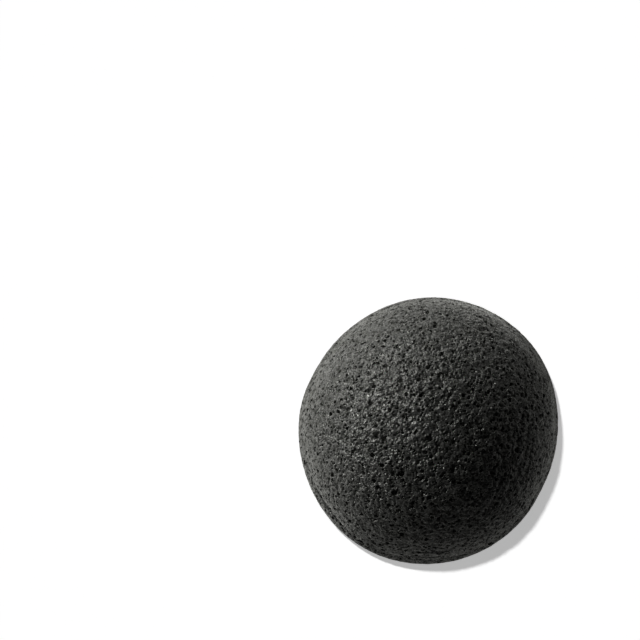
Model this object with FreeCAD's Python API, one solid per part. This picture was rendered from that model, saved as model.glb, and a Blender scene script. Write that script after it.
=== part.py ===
"""Konjac sponge: a half-ball facial sponge, moulded in one piece from porous konjac gel.

Millimetres, +Z up. The flat rubbing face lies on Z = 0 with the origin at its centre,
the longer way across lies along Y, and the dome rises along +Z.
"""
import FreeCAD
import Part
import math
import os

# Overall size: the plan is a round, stretched a little along Y
plan_width = 80.4
plan_stretch = 4.2
height = 41.0

# Rolled lip that stands out round the flat face, below a crease
widest_level = 4.2
base_inset = 1.6
crease_level = 9.0
crease_inset = 1.3

# Rounds in the crease and along the edge of the flat face
crease_round = 3.0
base_round = 1.2

UP = FreeCAD.Vector(0, 0, 1)
ALONG = FreeCAD.Vector(0, 1, 0)
CENTRE = FreeCAD.Vector(0, 0, 0)
HALF_TURN = 180


def point(reach, level):
    """A point of the half profile, which stands in the XZ plane."""
    return FreeCAD.Vector(reach, 0, level)


def towards(centre, target, radius):
    """The point at one radius from a centre, on the way to a target."""
    way = target - centre
    return centre + way.normalize() * radius


def arc(centre, start, end):
    """The shorter arc about a centre, from one point to another at the same distance from it."""
    radius = (start - centre).Length
    return Part.Arc(start, towards(centre, (start + end) / 2, radius), end)


def bulge_radius(inset, rise):
    """Radius of an arc that sets off along its rise and draws in by its inset."""
    return (inset**2 + rise**2) / (2 * inset)


def upper_meet(inner_centre, inner_radius, outer_centre, outer_radius):
    """The upper of the two points at one distance from an inner centre and another from an outer one."""
    way = outer_centre - inner_centre
    apart = way.Length
    way.normalize()
    along = (apart**2 + inner_radius**2 - outer_radius**2) / (2 * apart)
    aside = math.sqrt(inner_radius**2 - along**2)
    return inner_centre + way * along + way.cross(ALONG) * aside


def half_profile():
    """Crown, crease, rolled lip and flat face, from the top out and back to the axis."""
    lip_reach = plan_width / 2
    widest = point(lip_reach, widest_level)

    # The lip is upright at its widest level: it tucks in below and rolls inwards above
    under_radius = bulge_radius(base_inset, widest_level)
    under_centre = point(lip_reach - under_radius, widest_level)
    over_radius = bulge_radius(crease_inset, crease_level - widest_level)
    over_centre = point(lip_reach - over_radius, widest_level)

    # The crown starts at the crease and is level at the top of the dome
    crown_radius = bulge_radius(height - crease_level, lip_reach - crease_inset)
    crown_centre = point(0, height - crown_radius)
    top = point(0, height)

    # A round eases the corner between the flat face and the lip
    round_drop = widest_level - base_round
    round_reach = math.sqrt((under_radius - base_round) ** 2 - round_drop**2)
    round_centre = point(under_centre.x + round_reach, base_round)
    flat_end = point(round_centre.x, 0)
    round_end = towards(under_centre, round_centre, under_radius)

    # A hollow round fills the crease and runs smoothly into the lip and the crown
    crease_centre = upper_meet(
        crown_centre, crown_radius + crease_round, over_centre, over_radius + crease_round
    )
    crease_start = towards(over_centre, crease_centre, over_radius)
    crown_start = towards(crown_centre, crease_centre, crown_radius)
    print(f"lip radii {under_radius:.2f} and {over_radius:.2f} mm, crown radius {crown_radius:.2f} mm")

    outline = [
        arc(crown_centre, top, crown_start),
        arc(crease_centre, crown_start, crease_start),
        arc(over_centre, crease_start, widest),
        arc(under_centre, widest, round_end),
        arc(round_centre, round_end, flat_end),
        Part.LineSegment(flat_end, CENTRE),
        Part.LineSegment(CENTRE, top),
    ]
    return Part.Face(Part.Wire([piece.toShape() for piece in outline]))


def sponge_body():
    """The half profile turned at both ends of the plan, and carried straight between them."""
    half_stretch = ALONG * (plan_stretch / 2)
    profile = half_profile()
    end = profile.revolve(CENTRE, UP, HALF_TURN)
    end.translate(half_stretch)
    side = profile.extrude(ALONG * plan_stretch)
    side.translate(-half_stretch)
    half = end.fuse(side)
    other_half = half.copy()
    other_half.rotate(CENTRE, UP, HALF_TURN)
    return half.fuse(other_half).removeSplitter().Solids[0]


os.makedirs("parts", exist_ok=True)
body = sponge_body()
body.exportStep("parts/sponge_body.step")
box = body.optimalBoundingBox(False, False)
print(f"sponge_body {box.XLength:.2f} x {box.YLength:.2f} x {box.ZLength:.2f} mm")
print(f"volume {body.Volume:.0f} mm3, valid {body.isValid()}, faces {len(body.Faces)}")
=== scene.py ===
# %% [markdown]
# # A charcoal konjac sponge
# A konjac sponge is a half-ball of plant gel. The gel is beaten full of air, set in a mould and
# frozen, and when it thaws the air stays behind as open pores. Bamboo charcoal makes this one
# dark grey. It is one piece, so the whole lesson is about one surface: its outline, its pores,
# and how a dull, slightly damp foam takes the light.

# %% Load the measured solid
import bpy
import bmesh
import math
import numpy as np
from mathutils import Matrix, Vector


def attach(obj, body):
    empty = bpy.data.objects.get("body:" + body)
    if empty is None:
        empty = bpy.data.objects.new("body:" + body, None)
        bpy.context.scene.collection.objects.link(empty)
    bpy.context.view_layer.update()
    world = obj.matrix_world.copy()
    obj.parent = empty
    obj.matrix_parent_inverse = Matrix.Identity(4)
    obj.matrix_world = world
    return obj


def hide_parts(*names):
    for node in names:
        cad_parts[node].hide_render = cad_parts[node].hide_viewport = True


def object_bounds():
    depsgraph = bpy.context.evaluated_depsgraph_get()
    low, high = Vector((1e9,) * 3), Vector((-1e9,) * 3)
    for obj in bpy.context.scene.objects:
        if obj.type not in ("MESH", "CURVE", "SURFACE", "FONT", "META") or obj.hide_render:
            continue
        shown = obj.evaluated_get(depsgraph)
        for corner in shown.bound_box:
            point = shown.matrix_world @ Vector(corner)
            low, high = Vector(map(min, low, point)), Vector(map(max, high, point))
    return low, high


MM = 0.001

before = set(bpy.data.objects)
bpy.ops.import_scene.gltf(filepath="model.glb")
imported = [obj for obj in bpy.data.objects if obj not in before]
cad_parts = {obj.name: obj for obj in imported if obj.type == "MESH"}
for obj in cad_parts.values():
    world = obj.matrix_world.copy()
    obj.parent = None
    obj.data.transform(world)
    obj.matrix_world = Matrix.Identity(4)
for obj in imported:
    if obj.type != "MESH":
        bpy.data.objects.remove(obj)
cad_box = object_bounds()
width, length, height = cad_box[1] - cad_box[0]
print(f"the solid measures {width / MM:.1f} x {length / MM:.1f} x {height / MM:.1f} mm")

# %% [markdown]
# ## Directions
# The solid has its own axes, but what is placed one by one is easier to name as the picture shows
# it: towards the upper left, or the lower right. One function turns such an angle, counted from
# the picture's right and turning left, into a direction on the object. The camera, the lamps,
# the larger pits and the creases all go through it.

# %% Directions as the picture shows them
PLAN_TURN_DEG = 152


def seen_at(image_angle_deg, elevation_deg=0):
    """Unit vector towards a side of the picture, raised by an elevation."""
    plan = math.radians(image_angle_deg - PLAN_TURN_DEG)
    rise = math.radians(elevation_deg)
    return Vector((math.cos(plan) * math.cos(rise), math.sin(plan) * math.cos(rise), math.sin(rise)))


print("the picture's right is", [round(share, 2) for share in seen_at(0)], "on the object")

# %% [markdown]
# ## The camera
# The photograph looks down on the dome from a little towards its lower left, and the sponge lies
# to the right of the middle and below it. Two measures tie the picture to the object: where the
# sponge's centre falls in the frame, and how many pixels make a millimetre there. A shifted lens
# could put the sponge off centre, but the shift would stay on in every other view, so the camera
# is turned to look past the sponge instead.

# %% Camera
PICTURE_PX = 640
SPONGE_PX = Vector((428.9, 429.7))
PX_PER_MM = 3.166
CAMERA_DISTANCE = 750 * MM
CAMERA_SIDE_DEG = 225
CAMERA_ELEVATION_DEG = 83
WIDEST_LEVEL = 4.2 * MM

camera_data = bpy.data.cameras.new("studio_camera")
camera = bpy.data.objects.new("studio_camera", camera_data)
bpy.context.scene.collection.objects.link(camera)
bpy.context.scene.camera = camera
film_mm = camera_data.sensor_width
camera_data.lens = PX_PER_MM / MM * CAMERA_DISTANCE * film_mm / PICTURE_PX

back = seen_at(CAMERA_SIDE_DEG, CAMERA_ELEVATION_DEG)
right = seen_at(90).cross(back).normalized()
up = back.cross(right)
straight = Matrix((right, up, back)).transposed()

offset_mm = (SPONGE_PX - Vector((PICTURE_PX, PICTURE_PX)) / 2) * film_mm / PICTURE_PX
towards_sponge = Vector((offset_mm.x, -offset_mm.y, -camera_data.lens))
aside = towards_sponge.rotation_difference(Vector((0, 0, -1))).to_matrix()
place = Matrix.Translation(Vector((0, 0, WIDEST_LEVEL)) + back * CAMERA_DISTANCE)
camera.matrix_world = place @ (straight @ aside).to_4x4()
print(f"lens {camera_data.lens:.0f} mm, at {CAMERA_DISTANCE} m")

# %% [markdown]
# ## Two small helpers
# Node trees are mostly wired by hand. In a script, one function that adds a node, makes its
# settings and fills its inputs serves materials and geometry alike. Colours are written as the
# hex values that a paint program shows, and turned to linear light in one place.


# %% Node and colour helpers
def add_node(tree, kind, inputs=None, **settings):
    """Adds one node, with its settings made and its inputs linked or filled, and gives its outputs."""
    made = tree.nodes.new(kind)
    for name, value in settings.items():
        setattr(made, name, value)
    for socket, value in (inputs or {}).items():
        if isinstance(value, bpy.types.NodeSocket):
            tree.links.new(value, made.inputs[socket])
        else:
            made.inputs[socket].default_value = value
    return made.outputs


def linear(hex_colour):
    """An sRGB hex colour as linear RGBA."""
    shares = [int(hex_colour[i : i + 2], 16) / 255 for i in (1, 3, 5)]
    return [s / 12.92 if s <= 0.04045 else ((s + 0.055) / 1.055) ** 2.4 for s in shares] + [1.0]


print("mid grey in linear light", [round(share, 3) for share in linear("#808080")[:3]])

# %% [markdown]
# ## The table
# The sponge lies on plain white, with a short and fairly crisp shadow. Light enough to turn the
# table white would wash out a dark sponge, so the table adds a glow of its own that only the
# camera sees. The glow fills the shadow too, which is why the shadow is a pale grey.

# %% White table
TABLE_RADIUS = 6000 * MM
TABLE_CORNERS = 64
TABLE_GLOW = 0.435

table_mesh = bpy.data.meshes.new("table")
shape = bmesh.new()
bmesh.ops.create_circle(shape, cap_ends=True, segments=TABLE_CORNERS, radius=TABLE_RADIUS)
shape.to_mesh(table_mesh)
shape.free()
table = bpy.data.objects.new("table", table_mesh)
bpy.context.scene.collection.objects.link(table)
table.visible_glossy = False

white_table = bpy.data.materials.new("white_table")
white_table.use_nodes = True
tree = white_table.node_tree
tree.nodes.clear()
seen = add_node(tree, "ShaderNodeLightPath")["Is Camera Ray"]
glow = add_node(tree, "ShaderNodeMath", {0: seen, 1: TABLE_GLOW}, operation="MULTIPLY")[0]
paint = add_node(tree, "ShaderNodeBsdfDiffuse", {"Color": linear("#f7f7f7")})[0]
shine = add_node(tree, "ShaderNodeEmission", {"Strength": glow})[0]
both = add_node(tree, "ShaderNodeAddShader", {0: paint, 1: shine})[0]
add_node(tree, "ShaderNodeOutputMaterial", {"Surface": both})
table_mesh.materials.append(white_table)
print(f"table of {TABLE_RADIUS} m radius")

# %% [markdown]
# ## The room
# Beyond the table the picture is white as well. The world is white to the camera and almost dark
# to everything else, because the deepest pores of the sponge are nearly black.

# %% White room
ROOM_LEVEL = 0.018

world = bpy.data.worlds.new("white_room")
bpy.context.scene.world = world
world.use_nodes = True
tree = world.node_tree
tree.nodes.clear()
seen = add_node(tree, "ShaderNodeLightPath")["Is Camera Ray"]
level = add_node(tree, "ShaderNodeMapRange", {"Value": seen, "To Min": ROOM_LEVEL, "To Max": 1.0})[0]
room = add_node(tree, "ShaderNodeBackground", {"Color": linear("#ffffff"), "Strength": level})[0]
add_node(tree, "ShaderNodeOutputWorld", {"Surface": room})
print("room light", ROOM_LEVEL)

# %% [markdown]
# ## The sun lamp
# The shadow falls to the lower right, so its lamp stands at the upper left. A sun lamp lights the
# table evenly out to its edge, which an area lamp can't do, and its width sets how soft the
# shadow's edge is. It is linked to the table alone, because the sponge has lamps of its own. A
# lamp's level in this lesson is what a white card would show if it faced that lamp.

# %% Sun lamp for the table
SUN_LEVEL = 0.66
SUN_SIDE_DEG = 135
SUN_ELEVATION_DEG = 64
SUN_WIDTH_DEG = 3.5


def hang_lamp(name, kind, direction, distance):
    """A lamp that shines at the sponge from one direction."""
    data = bpy.data.lights.new(name, kind)
    lamp = bpy.data.objects.new(name, data)
    bpy.context.scene.collection.objects.link(lamp)
    lamp.location = direction * distance
    lamp.rotation_euler = direction.to_track_quat("Z", "Y").to_euler()
    return lamp


sun = hang_lamp("sun", "SUN", seen_at(SUN_SIDE_DEG, SUN_ELEVATION_DEG), 1.0)
sun.data.angle = math.radians(SUN_WIDTH_DEG)
sun.data.energy = SUN_LEVEL * math.pi
table_only = bpy.data.collections.new("table_only")
table_only.objects.link(table)
sun.light_linking.receiver_collection = table_only
print(f"sun of {sun.data.energy:.2f} W/m2")

# %% [markdown]
# ## The softboxes
# The sponge's left flank is pale and its right one nearly black, so the main softbox lies low on
# the left and rakes across the dome. A small one above it draws the damp glints, and two weak
# fills keep the far rim and the near rim from going black. They are flagged off the table, as a
# photographer does with a card, by linking them to the sponge. Only the small one shows in
# reflections: a low lamp mirrored all along the flank would make the foam look like leather.

# %% Softboxes for the sponge
LAMP_DISTANCE = 500 * MM
SOFTBOXES = {
    "key": dict(level=2.15, side=138, elevation=0, width=320 * MM, height=80 * MM, glints=False),
    "glint": dict(level=0.47, side=146, elevation=33, width=50 * MM, height=50 * MM, glints=True),
    "far_fill": dict(level=0.42, side=50, elevation=3, width=300 * MM, height=160 * MM, glints=False),
    "near_fill": dict(level=0.11, side=224, elevation=3, width=300 * MM, height=160 * MM, glints=False),
}

sponge_only = bpy.data.collections.new("sponge_only")
for name, box in SOFTBOXES.items():
    lamp = hang_lamp(name, "AREA", seen_at(box["side"], box["elevation"]), LAMP_DISTANCE)
    lamp.data.shape = "RECTANGLE"
    lamp.data.size = box["width"]
    lamp.data.size_y = box["height"]
    lamp.data.energy = box["level"] * (math.pi * LAMP_DISTANCE) ** 2
    lamp.visible_glossy = box["glints"]
    lamp.light_linking.receiver_collection = sponge_only
    print(f"{name} of {lamp.data.energy:.2f} W")

# %% [markdown]
# ## Even quads
# A solid from a CAD program arrives as long thin triangles, which can't be pressed or pitted. A
# subdivision would only cut them into more thin triangles. A voxel remesh turns a copy of the
# solid into small, even quads, and the copy's doubled points are merged first.

# %% Even quads from the solid
NODE = "sponge_body"
VOXEL = 0.7 * MM
MERGE_DISTANCE = 0.001 * MM

shape = bmesh.new()
shape.from_mesh(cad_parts[NODE].data)
bmesh.ops.remove_doubles(shape, verts=shape.verts, dist=MERGE_DISTANCE)
form_mesh = bpy.data.meshes.new("konjac_sponge")
shape.to_mesh(form_mesh)
shape.free()
sponge = bpy.data.objects.new("konjac_sponge", form_mesh)
bpy.context.scene.collection.objects.link(sponge)
remesh = sponge.modifiers.new("even_quads", "REMESH")
remesh.mode = "VOXEL"
remesh.voxel_size = VOXEL


def settle(piece):
    """Turns what a piece's modifiers make into its own plain mesh."""
    graph = bpy.context.evaluated_depsgraph_get()
    made = bpy.data.meshes.new_from_object(piece.evaluated_get(graph))
    piece.modifiers.clear()
    piece.data = made
    return made


form_mesh = settle(sponge)
print("even quads:", len(form_mesh.polygons))

# %% [markdown]
# ## The outline
# A gel shrinks as it thaws and never keeps its mould's clean oval. Seen from above, this one
# bulges and flattens by a fraction of a millimetre. A few cosine lobes round the outline do that
# without a single dragged point: each has a count, how far it stands out in millimetres, and
# where in the picture the first of them points.

# %% Press the outline out of true
LOBES = {2: (0.16, 61), 3: (0.20, 42), 4: (0.13, -28), 5: (0.13, 25), 6: (0.06, -24)}

mean_radius = (width + length) / 4
points = np.empty(len(form_mesh.vertices) * 3)
form_mesh.vertices.foreach_get("co", points)
points = points.reshape(-1, 3)
around = np.arctan2(points[:, 1], points[:, 0])
swell = np.ones(len(points))
for count, (reach_mm, image_angle_deg) in LOBES.items():
    first = math.radians(image_angle_deg - PLAN_TURN_DEG)
    swell += reach_mm * MM / mean_radius * np.cos(count * (around - first))
points[:, :2] *= swell[:, None]
form_mesh.vertices.foreach_set("co", points.ravel())
form_mesh.update()
print(f"the outline swells by {swell.min():.3f} to {swell.max():.3f}")

# %% [markdown]
# ## Fine enough for pores
# The smallest pores are a quarter of a millimetre across, so the quads have to be smaller still.
# Two subdivisions take them from 0.7 to under 0.2 mm, and round off the steps of the voxels.

# %% Subdivide
SUBDIVISIONS = 2

finer = sponge.modifiers.new("finer", "SUBSURF")
finer.levels = SUBDIVISIONS
finer.render_levels = SUBDIVISIONS
form_mesh = settle(sponge)
print("fine quads:", len(form_mesh.polygons))

# %% [markdown]
# ## A tree for the foam
# The pores are bubbles, cut open by the skin. Bump mapping would only shade them, and boolean
# cuts by thousands of spheres would take minutes. Geometry Nodes can work out the depth at each
# point instead and move the point in along its normal, so the pores are real shape. The tree is
# made a step at a time, and each of its sizes is a named input of the modifier.

# %% The foam tree and its first inputs
SEED = 11

foam = bpy.data.node_groups.new("konjac_foam", "GeometryNodeTree")
foam.interface.new_socket("Geometry", in_out="INPUT", socket_type="NodeSocketGeometry")
foam.interface.new_socket("Finish", in_out="INPUT", socket_type="NodeSocketMaterial")
foam.interface.new_socket("Geometry", in_out="OUTPUT", socket_type="NodeSocketGeometry")
foam_values = {}


def foam_input(name, value):
    """Adds a named input to the foam tree, notes this sponge's value for it and gives its socket."""
    foam.interface.new_socket(name, in_out="INPUT", socket_type="NodeSocketFloat")
    foam_values[name] = value
    return add_node(foam, "NodeGroupInput")[name]


position = add_node(foam, "GeometryNodeInputPosition")[0]
normal = add_node(foam, "GeometryNodeInputNormal")[0]
seed = foam_input("Seed", SEED)
start = add_node(foam, "ShaderNodeCombineXYZ", {"X": seed, "Y": seed})[0]
shifted = add_node(foam, "ShaderNodeVectorMath", {0: position, 1: start}, operation="ADD")[0]
print("the pattern starts", SEED, "m away")

# %% [markdown]
# ## Bent space
# Bubbles that crowd each other are never quite round. A soft noise bends the space that they are
# measured in, which turns every sphere into a slightly different lump at no cost.

# %% Bend the space
BEND_SIZE = 2.6 * MM
BEND_REACH = 0.9 * MM

bend_size = foam_input("Bend size", BEND_SIZE)
per_metre = add_node(foam, "ShaderNodeMath", {0: 1.0, 1: bend_size}, operation="DIVIDE")[0]
wave = add_node(foam, "ShaderNodeTexNoise", {"Vector": shifted, "Scale": per_metre})["Color"]
wave = add_node(foam, "ShaderNodeVectorMath", {0: wave, 1: (0.5, 0.5, 0.5)}, operation="SUBTRACT")[0]
bend_reach = foam_input("Bend reach", BEND_REACH)
wave = add_node(foam, "ShaderNodeVectorMath", {0: wave, "Scale": bend_reach}, operation="SCALE")[0]
bent = add_node(foam, "ShaderNodeVectorMath", {0: shifted, 1: wave}, operation="ADD")[0]
bent_place = add_node(foam, "ShaderNodeVectorMath", {0: position, 1: wave}, operation="ADD")[0]
print(f"space bends by up to {BEND_REACH / MM:.1f} mm")

# %% [markdown]
# ## Four sizes of bubble
# A 3-D Voronoi texture scatters the centres, and its random colour gives each bubble its radius
# and decides whether it is there at all. A point that lies inside a bubble sinks, steeply at the
# bubble's wall and to a flat bottom. Beaten foam has bubbles of every size, so four sizes
# overlap, and the deepest one wins.

# %% Depth of the bubbles
BUBBLES_MM = {
    "Large": dict(spacing=7.5, least=0.45, most=1.15, wall=0.50, deepest=1.10),
    "Middle": dict(spacing=1.9, least=0.30, most=0.80, wall=0.34, deepest=0.75),
    "Small": dict(spacing=1.15, least=0.20, most=0.55, wall=0.24, deepest=0.45),
    "Finest": dict(spacing=0.75, least=0.12, most=0.34, wall=0.16, deepest=0.25),
}
BUBBLE_SHARES = {"Large": 0.5, "Middle": 0.95, "Small": 0.95, "Finest": 0.95}

pore = None
for size, sizes in BUBBLES_MM.items():
    given = {name: foam_input(f"{size} {name}", value * MM) for name, value in sizes.items()}
    share = foam_input(f"{size} share", BUBBLE_SHARES[size])
    per_metre = add_node(foam, "ShaderNodeMath", {0: 1.0, 1: given["spacing"]}, operation="DIVIDE")[0]
    cells = add_node(foam, "ShaderNodeTexVoronoi", {"Vector": bent, "Scale": per_metre})
    chance = add_node(foam, "ShaderNodeSeparateXYZ", {0: cells["Color"]})
    radius = add_node(
        foam,
        "ShaderNodeMapRange",
        {"Value": chance["X"], "To Min": given["least"], "To Max": given["most"]},
    )[0]
    there = add_node(foam, "ShaderNodeMath", {0: chance["Y"], 1: share}, operation="LESS_THAN")[0]
    radius = add_node(foam, "ShaderNodeMath", {0: radius, 1: there}, operation="MULTIPLY")[0]
    away = add_node(
        foam, "ShaderNodeMath", {0: cells["Distance"], 1: given["spacing"]}, operation="MULTIPLY"
    )[0]
    inside = add_node(foam, "ShaderNodeMath", {0: radius, 1: away}, operation="SUBTRACT")[0]
    bubble = add_node(
        foam,
        "ShaderNodeMapRange",
        {"Value": inside, "From Max": given["wall"], "To Max": given["deepest"]},
        interpolation_type="SMOOTHSTEP",
    )[0]
    if pore is not None:
        bubble = add_node(foam, "ShaderNodeMath", {0: pore, 1: bubble}, operation="MAXIMUM")[0]
    pore = bubble
print("bubble sizes:", list(BUBBLES_MM))

# %% [markdown]
# ## The larger pits
# Here and there two bubbles burst into one and leave a pit that the eye finds again, so these
# stand where the picture shows them. Each has an angle in the picture, a distance from the
# middle and a radius in millimetres, and a ray from above finds its height on the dome.

# %% Larger pits, one by one
PITS = [
    (116, 13.5, 0.95), (244, 6.5, 1.10), (199, 17.5, 0.85), (164, 13.0, 0.80), (176, 20.5, 0.75),
    (166, 21.0, 0.75), (157, 23.0, 0.75), (240, 21.0, 0.75), (185, 19.0, 0.90), (260, 24.0, 0.75),
    (341, 25.5, 0.75), (172, 27.0, 0.75), (86, 20.5, 0.75), (186, 23.0, 0.60), (31, 29.5, 0.60),
    (145, 25.0, 0.60), (191, 35.5, 0.45), (193, 36.0, 0.50), (194, 36.0, 0.45),
]
PIT_WALL = 0.45 * MM
PIT_DEPTH = 1.0 * MM
DOWN = Vector((0, 0, -1))

pit_wall = foam_input("Pit wall", PIT_WALL)
pit_depth = foam_input("Pit depth", PIT_DEPTH)
bpy.context.view_layer.update()
for image_angle_deg, distance_mm, radius_mm in PITS:
    above = seen_at(image_angle_deg) * distance_mm * MM + Vector((0, 0, 2 * height))
    centre = sponge.ray_cast(above, DOWN)[1]
    apart = add_node(foam, "ShaderNodeVectorMath", {0: bent_place, 1: centre}, operation="DISTANCE")
    inside = add_node(
        foam, "ShaderNodeMath", {0: radius_mm * MM, 1: apart["Value"]}, operation="SUBTRACT"
    )[0]
    pit = add_node(
        foam,
        "ShaderNodeMapRange",
        {"Value": inside, "From Max": pit_wall, "To Max": pit_depth},
        interpolation_type="SMOOTHSTEP",
    )[0]
    pore = add_node(foam, "ShaderNodeMath", {0: pore, 1: pit}, operation="MAXIMUM")[0]
print("larger pits:", len(PITS))

# %% [markdown]
# ## Lumps between the pores
# The skin between the pores isn't level either: it rises and falls by about a millimetre, and
# that is what breaks the light up on the crown. A noise with a few finer octaves gives it, added
# to the depth with both signs, so that the sponge keeps its size.

# %% Relief
RELIEF_SIZE = 2.6 * MM
RELIEF_DEPTH = 1.7 * MM
RELIEF_OCTAVES = 2.6
RELIEF_ROUGHNESS = 0.75

relief_size = foam_input("Relief size", RELIEF_SIZE)
per_metre = add_node(foam, "ShaderNodeMath", {0: 1.0, 1: relief_size}, operation="DIVIDE")[0]
lumps = {"Vector": shifted, "Scale": per_metre, "Detail": RELIEF_OCTAVES, "Roughness": RELIEF_ROUGHNESS}
relief = add_node(foam, "ShaderNodeTexNoise", lumps)[0]
relief = add_node(foam, "ShaderNodeMath", {0: relief, 1: 0.5}, operation="SUBTRACT")[0]
relief_depth = foam_input("Relief depth", RELIEF_DEPTH)
relief = add_node(foam, "ShaderNodeMath", {0: relief, 1: relief_depth}, operation="MULTIPLY")[0]
print(f"relief of {RELIEF_DEPTH / MM:.1f} mm over {RELIEF_SIZE / MM:.1f} mm")

# %% [markdown]
# ## A smoother lip
# The gel skins over where it touches the mould's rim, so the lip is smoother than the crown. The
# steepness of the surface says where that is: the upright part of the normal is 1 on the crown
# and 0 on the lip. Towards it the lumps fade almost away, and the pores keep half their depth.

# %% Fade the foam towards the lip
CROWN_RELIEF_SHARE = 1.4
LIP_RELIEF_SHARE = 0.20
CROWN_PORE_SHARE = 1.2
LIP_PORE_SHARE = 0.55
RELIEF_FADE = (0.10, 0.88)
PORE_FADE = (0.05, 1.0)
PALE_RIM_FADE = (0.28, 0.66)

upright = add_node(foam, "ShaderNodeSeparateXYZ", {0: normal})["Z"]
upright = add_node(foam, "ShaderNodeMath", {0: upright}, operation="ABSOLUTE")[0]
crown_relief = foam_input("Crown relief share", CROWN_RELIEF_SHARE)
lip_relief = foam_input("Lip relief share", LIP_RELIEF_SHARE)
fade = {"Value": upright, "From Min": RELIEF_FADE[0], "From Max": RELIEF_FADE[1]}
fade |= {"To Min": lip_relief, "To Max": crown_relief}
share = add_node(foam, "ShaderNodeMapRange", fade, interpolation_type="SMOOTHSTEP")[0]
relief = add_node(foam, "ShaderNodeMath", {0: relief, 1: share}, operation="MULTIPLY")[0]
crown_pores = foam_input("Crown pore share", CROWN_PORE_SHARE)
lip_pores = foam_input("Lip pore share", LIP_PORE_SHARE)
fade = {"Value": upright, "From Min": PORE_FADE[0], "From Max": PORE_FADE[1]}
fade |= {"To Min": lip_pores, "To Max": crown_pores}
share = add_node(foam, "ShaderNodeMapRange", fade, interpolation_type="SMOOTHSTEP")[0]
pore = add_node(foam, "ShaderNodeMath", {0: pore, 1: share}, operation="MULTIPLY")[0]
# This mask marks where the colour is painted paler: partly the lip's smoother skin, partly painted rim
# sheen.
fade = {"Value": upright, "From Min": PALE_RIM_FADE[0], "From Max": PALE_RIM_FADE[1]}
fade |= {"To Min": 1.0, "To Max": 0.0}
lip = add_node(foam, "ShaderNodeMapRange", fade, interpolation_type="SMOOTHSTEP")[0]
print("the lip keeps", LIP_PORE_SHARE, "of its pores' depth")

# %% [markdown]
# ## Pale patches and creases
# Two stretches of the flank are made smoother and paler: their pores and lumps are partly
# flattened, and they take the lip's colour, which is partly painted rim sheen. A few short creases
# run along the rim where the soft gel was pressed. Both are patches of the flank, so one function
# measures them: how far round the sponge a point lies from the patch's middle, and how far above or below.

# %% Pale patches and creases
PALE_PATCHES = [(40, 17, 19.0, 5.0), (8, 14, 14.0, 4.0)]
PALE_PATCH_SHARE = 0.45
CREASES = [(265, 9, 11.0), (271, 10, 15.5), (218, 12, 9.4)]
CREASE_HALF_MM = 0.7
CREASE_DEPTH = 0.45 * MM

flat = add_node(foam, "ShaderNodeVectorMath", {0: position, 1: (1, 1, 0)}, operation="MULTIPLY")[0]
outward = add_node(foam, "ShaderNodeVectorMath", {0: flat}, operation="NORMALIZE")[0]
bent_height = add_node(foam, "ShaderNodeSeparateXYZ", {0: bent_place})["Z"]


def flank_patch(image_angle_deg, reach_deg, level_mm, half_mm):
    """How deep in a patch of the flank a point lies: 1 in the patch's middle, 0 outside it."""
    middle = seen_at(image_angle_deg)
    facing = add_node(foam, "ShaderNodeVectorMath", {0: outward, 1: middle}, operation="DOT_PRODUCT")
    span = {"Value": facing["Value"], "From Min": math.cos(math.radians(reach_deg))}
    along = add_node(foam, "ShaderNodeMapRange", span, interpolation_type="SMOOTHSTEP")[0]
    apart = add_node(foam, "ShaderNodeMath", {0: bent_height, 1: level_mm * MM}, operation="SUBTRACT")[0]
    apart = add_node(foam, "ShaderNodeMath", {0: apart}, operation="ABSOLUTE")[0]
    span = {"Value": apart, "From Max": half_mm * MM, "To Min": 1.0, "To Max": 0.0}
    across = add_node(foam, "ShaderNodeMapRange", span, interpolation_type="SMOOTHSTEP")[0]
    return add_node(foam, "ShaderNodeMath", {0: along, 1: across}, operation="MULTIPLY")[0]


pale_patch_share = foam_input("Pale patch share", PALE_PATCH_SHARE)
for patch in PALE_PATCHES:
    pale_patch = flank_patch(*patch)
    left = add_node(foam, "ShaderNodeMapRange", {"Value": pale_patch, "To Min": 1.0, "To Max": pale_patch_share})[0]
    pore = add_node(foam, "ShaderNodeMath", {0: pore, 1: left}, operation="MULTIPLY")[0]
    relief = add_node(foam, "ShaderNodeMath", {0: relief, 1: left}, operation="MULTIPLY")[0]
    # The patch takes the lip's paler colour, which is partly painted rim sheen.
    lip = add_node(foam, "ShaderNodeMath", {0: lip, 1: pale_patch}, operation="MAXIMUM")[0]

crease_depth = foam_input("Crease depth", CREASE_DEPTH)
for crease in CREASES:
    groove = flank_patch(*crease, CREASE_HALF_MM)
    groove = add_node(foam, "ShaderNodeMath", {0: groove, 1: crease_depth}, operation="MULTIPLY")[0]
    relief = add_node(foam, "ShaderNodeMath", {0: relief, 1: groove}, operation="ADD")[0]
print("rubbed places:", len(PALE_PATCHES), "and creases:", len(CREASES))

# %% [markdown]
# ## Sink the surface
# Each point moves in along its normal by the pores and the relief together. Nothing may go below
# the flat face that the sponge rests on. The depth of the pores and the place of the lip are kept
# as attributes, because the finish needs them, and the tree ends with the finish set.

# %% Sink the surface
depth = add_node(foam, "ShaderNodeMath", {0: pore, 1: relief}, operation="ADD")[0]
inwards = add_node(foam, "ShaderNodeMath", {0: depth, 1: -1.0}, operation="MULTIPLY")[0]
step = add_node(foam, "ShaderNodeVectorMath", {0: normal, "Scale": inwards}, operation="SCALE")[0]
moved = add_node(foam, "ShaderNodeVectorMath", {0: position, 1: step}, operation="ADD")[0]
rest_face = (-1.0, -1.0, 0.0)
moved = add_node(foam, "ShaderNodeVectorMath", {0: moved, 1: rest_face}, operation="MAXIMUM")[0]
plain = add_node(foam, "NodeGroupInput")["Geometry"]
pitted = add_node(foam, "GeometryNodeSetPosition", {"Geometry": plain, "Position": moved})[0]
for name, value in {"pore_depth": pore, "lip": lip}.items():
    kept = {"Geometry": pitted, "Name": name, "Value": value}
    pitted = add_node(foam, "GeometryNodeStoreNamedAttribute", kept, data_type="FLOAT", domain="POINT")[0]
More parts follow.
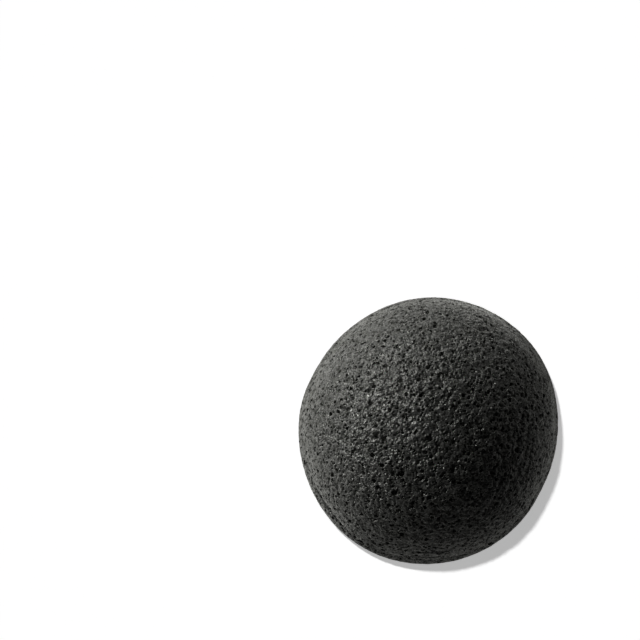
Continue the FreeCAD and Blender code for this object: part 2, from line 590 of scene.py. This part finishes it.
smooth = add_node(foam, "GeometryNodeSetShadeSmooth", {"Geometry": pitted})[0]
real = add_node(foam, "GeometryNodeRealizeInstances", {"Geometry": smooth})[0]
finish = add_node(foam, "NodeGroupInput")["Finish"]
painted = add_node(foam, "GeometryNodeSetMaterial", {"Geometry": real, "Material": finish})[0]
add_node(foam, "NodeGroupOutput", {"Geometry": painted})
print("foam tree of", len(foam.nodes), "nodes with", len(foam_values), "sizes")

# %% [markdown]
# ## The colour of charcoal gel
# Konjac gel is clear, so the sponge takes its colour from the charcoal powder in it: a dark grey,
# a touch warm. The powder is never stirred in quite evenly, so a cloudy noise mixes a darker and
# a lighter grey. The skinned-over lip is paler, partly for its smoother skin and partly as painted
# rim sheen, the brightening that its steep sides show in low light. The pores are painted almost
# black, which is painted shade in their depths. A painted picture could hold all this too, but it
# would have to be wrapped round the dome and would blur close up.

# %% Colour of the gel
CLOUD_SIZE = 1.6 * MM
CLOUD_EDGES = (0.3, 0.7)
PORE_SHADE_DEPTH = 0.24 * MM

konjac_gel = bpy.data.materials.new("charcoal_konjac_gel")
konjac_gel.use_nodes = True
tree = konjac_gel.node_tree
tree.nodes.clear()
place = add_node(tree, "ShaderNodeTexCoord")["Object"]
clouds = {"Vector": place, "Scale": 1 / CLOUD_SIZE, "Detail": 3.0, "Roughness": 0.7}
cloud = add_node(tree, "ShaderNodeTexNoise", clouds)[0]
clear = {"Value": cloud, "From Min": CLOUD_EDGES[0], "From Max": CLOUD_EDGES[1]}
cloud = add_node(tree, "ShaderNodeMapRange", clear)[0]
crown_greys = {"Factor": cloud, 6: linear("#232420"), 7: linear("#5b5b59")}
crown_skin = add_node(tree, "ShaderNodeMix", crown_greys, data_type="RGBA")[2]
# The lip greys are paler partly for the smoother skin and partly as painted rim sheen, the brightening of
# steep sides in low light.
lip_greys_with_rim_sheen = {"Factor": cloud, 6: linear("#41423c"), 7: linear("#878784")}
lip_skin_and_rim_sheen = add_node(tree, "ShaderNodeMix", lip_greys_with_rim_sheen, data_type="RGBA")[2]
lip = add_node(tree, "ShaderNodeAttribute", attribute_name="lip")["Fac"]
skin_and_rim_sheen = add_node(tree, "ShaderNodeMix", {"Factor": lip, 6: crown_skin, 7: lip_skin_and_rim_sheen}, data_type="RGBA")[2]
# Painted shade: the colour darkens towards near black with a pore's depth, where its walls cut off the
# light.
sunk = add_node(tree, "ShaderNodeAttribute", attribute_name="pore_depth")["Fac"]
sunk = add_node(tree, "ShaderNodeMapRange", {"Value": sunk, "From Max": PORE_SHADE_DEPTH})[0]
pore_painted_shade = linear("#0d0e0a")
colour = add_node(tree, "ShaderNodeMix", {"Factor": sunk, 6: skin_and_rim_sheen, 7: pore_painted_shade}, data_type="RGBA")[2]
print(f"clouds of {CLOUD_SIZE / MM:.1f} mm, and pores dark from {PORE_SHADE_DEPTH / MM:.2f} mm down")

# %% [markdown]
# ## Damp and grit
# The sponge is kept moist. Water lies as a film on some spots of the skin and has soaked in on
# others, so the roughness comes and goes with a fine noise, and only the wet spots glint. The gel
# itself is gritty with charcoal. Its real grains are far too fine to show at this size, so they
# are drawn at about half a millimetre, as a bump that tilts the light. Little of the film can be
# seen inside a pore, so the shine and the sheen both fade with depth.

# %% Damp and grit
DAMP_SIZE = 0.9 * MM
GRIT_SIZE = 0.45 * MM
GRIT_HEIGHT = 0.18 * MM
FILM_EDGES = (0.45, 0.62)
DULL = 0.34
WET = 0.14
PORE_SHINE = 0.5
SHEEN = 0.35
PORE_SHEEN = 0.1

damp = add_node(tree, "ShaderNodeTexNoise", {"Vector": place, "Scale": 1 / DAMP_SIZE, "Detail": 1.0})[0]
film = {"Value": damp, "From Min": FILM_EDGES[0], "From Max": FILM_EDGES[1], "To Min": DULL, "To Max": WET}
dullness = add_node(tree, "ShaderNodeMapRange", film)[0]
grit = add_node(tree, "ShaderNodeTexNoise", {"Vector": place, "Scale": 1 / GRIT_SIZE, "Detail": 2.0})[0]
bump = add_node(tree, "ShaderNodeBump", {"Strength": 1.0, "Distance": GRIT_HEIGHT, "Height": grit})[0]
shine = add_node(tree, "ShaderNodeMapRange", {"Value": sunk, "To Min": 1.0, "To Max": PORE_SHINE})[0]
fuzz = add_node(tree, "ShaderNodeMapRange", {"Value": sunk, "To Min": SHEEN, "To Max": PORE_SHEEN})[0]
print(f"damp spots of {DAMP_SIZE / MM:.1f} mm and grit of {GRIT_SIZE / MM:.2f} mm")

# %% [markdown]
# ## The shader
# A wet gel reflects like glass or water, a few hundredths of the light. Its sheen is the other
# half of the look: the cut walls of the bubbles stand up like a fine fuzz and catch light at low
# angles, which pales the rim all the way round. Both are tinted a touch warm.

# %% The gel's shader
principled = {
    "Base Color": colour,
    "Roughness": dullness,
    "IOR": 1.5,
    "Specular IOR Level": shine,
    "Specular Tint": linear("#fffff8"),
    "Sheen Weight": fuzz,
    "Sheen Roughness": 0.35,
    "Sheen Tint": linear("#fffff8"),
    "Normal": bump,
}
gel = add_node(tree, "ShaderNodeBsdfPrincipled", principled)[0]
add_node(tree, "ShaderNodeOutputMaterial", {"Surface": gel})
print("finish of", len(tree.nodes), "nodes")

# %% [markdown]
# ## Dress the sponge
# Now the foam tree goes on the fine quads, with this sponge's sizes in its inputs, and what it
# makes becomes the sponge's own mesh. The sponge stands in for the solid.

# %% Dress the sponge
pores = sponge.modifiers.new("pores", "NODES")
pores.node_group = foam
identifiers = {item.name: item.identifier for item in foam.interface.items_tree if item.in_out == "INPUT"}
for name, value in foam_values.items():
    pores[identifiers[name]] = value
pores[identifiers["Finish"]] = konjac_gel
form_mesh = settle(sponge)
sponge_only.objects.link(sponge)
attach(sponge, "root")
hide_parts(NODE)
print("finished sponge:", len(form_mesh.polygons), "faces")

# %% [markdown]
# ## The view transform
# Pores and lumps must not make the sponge larger or smaller than the solid it stands in for. The
# colours are shown with the Standard view transform.

# %% Standard view transform
bpy.context.scene.view_settings.view_transform = "Standard"
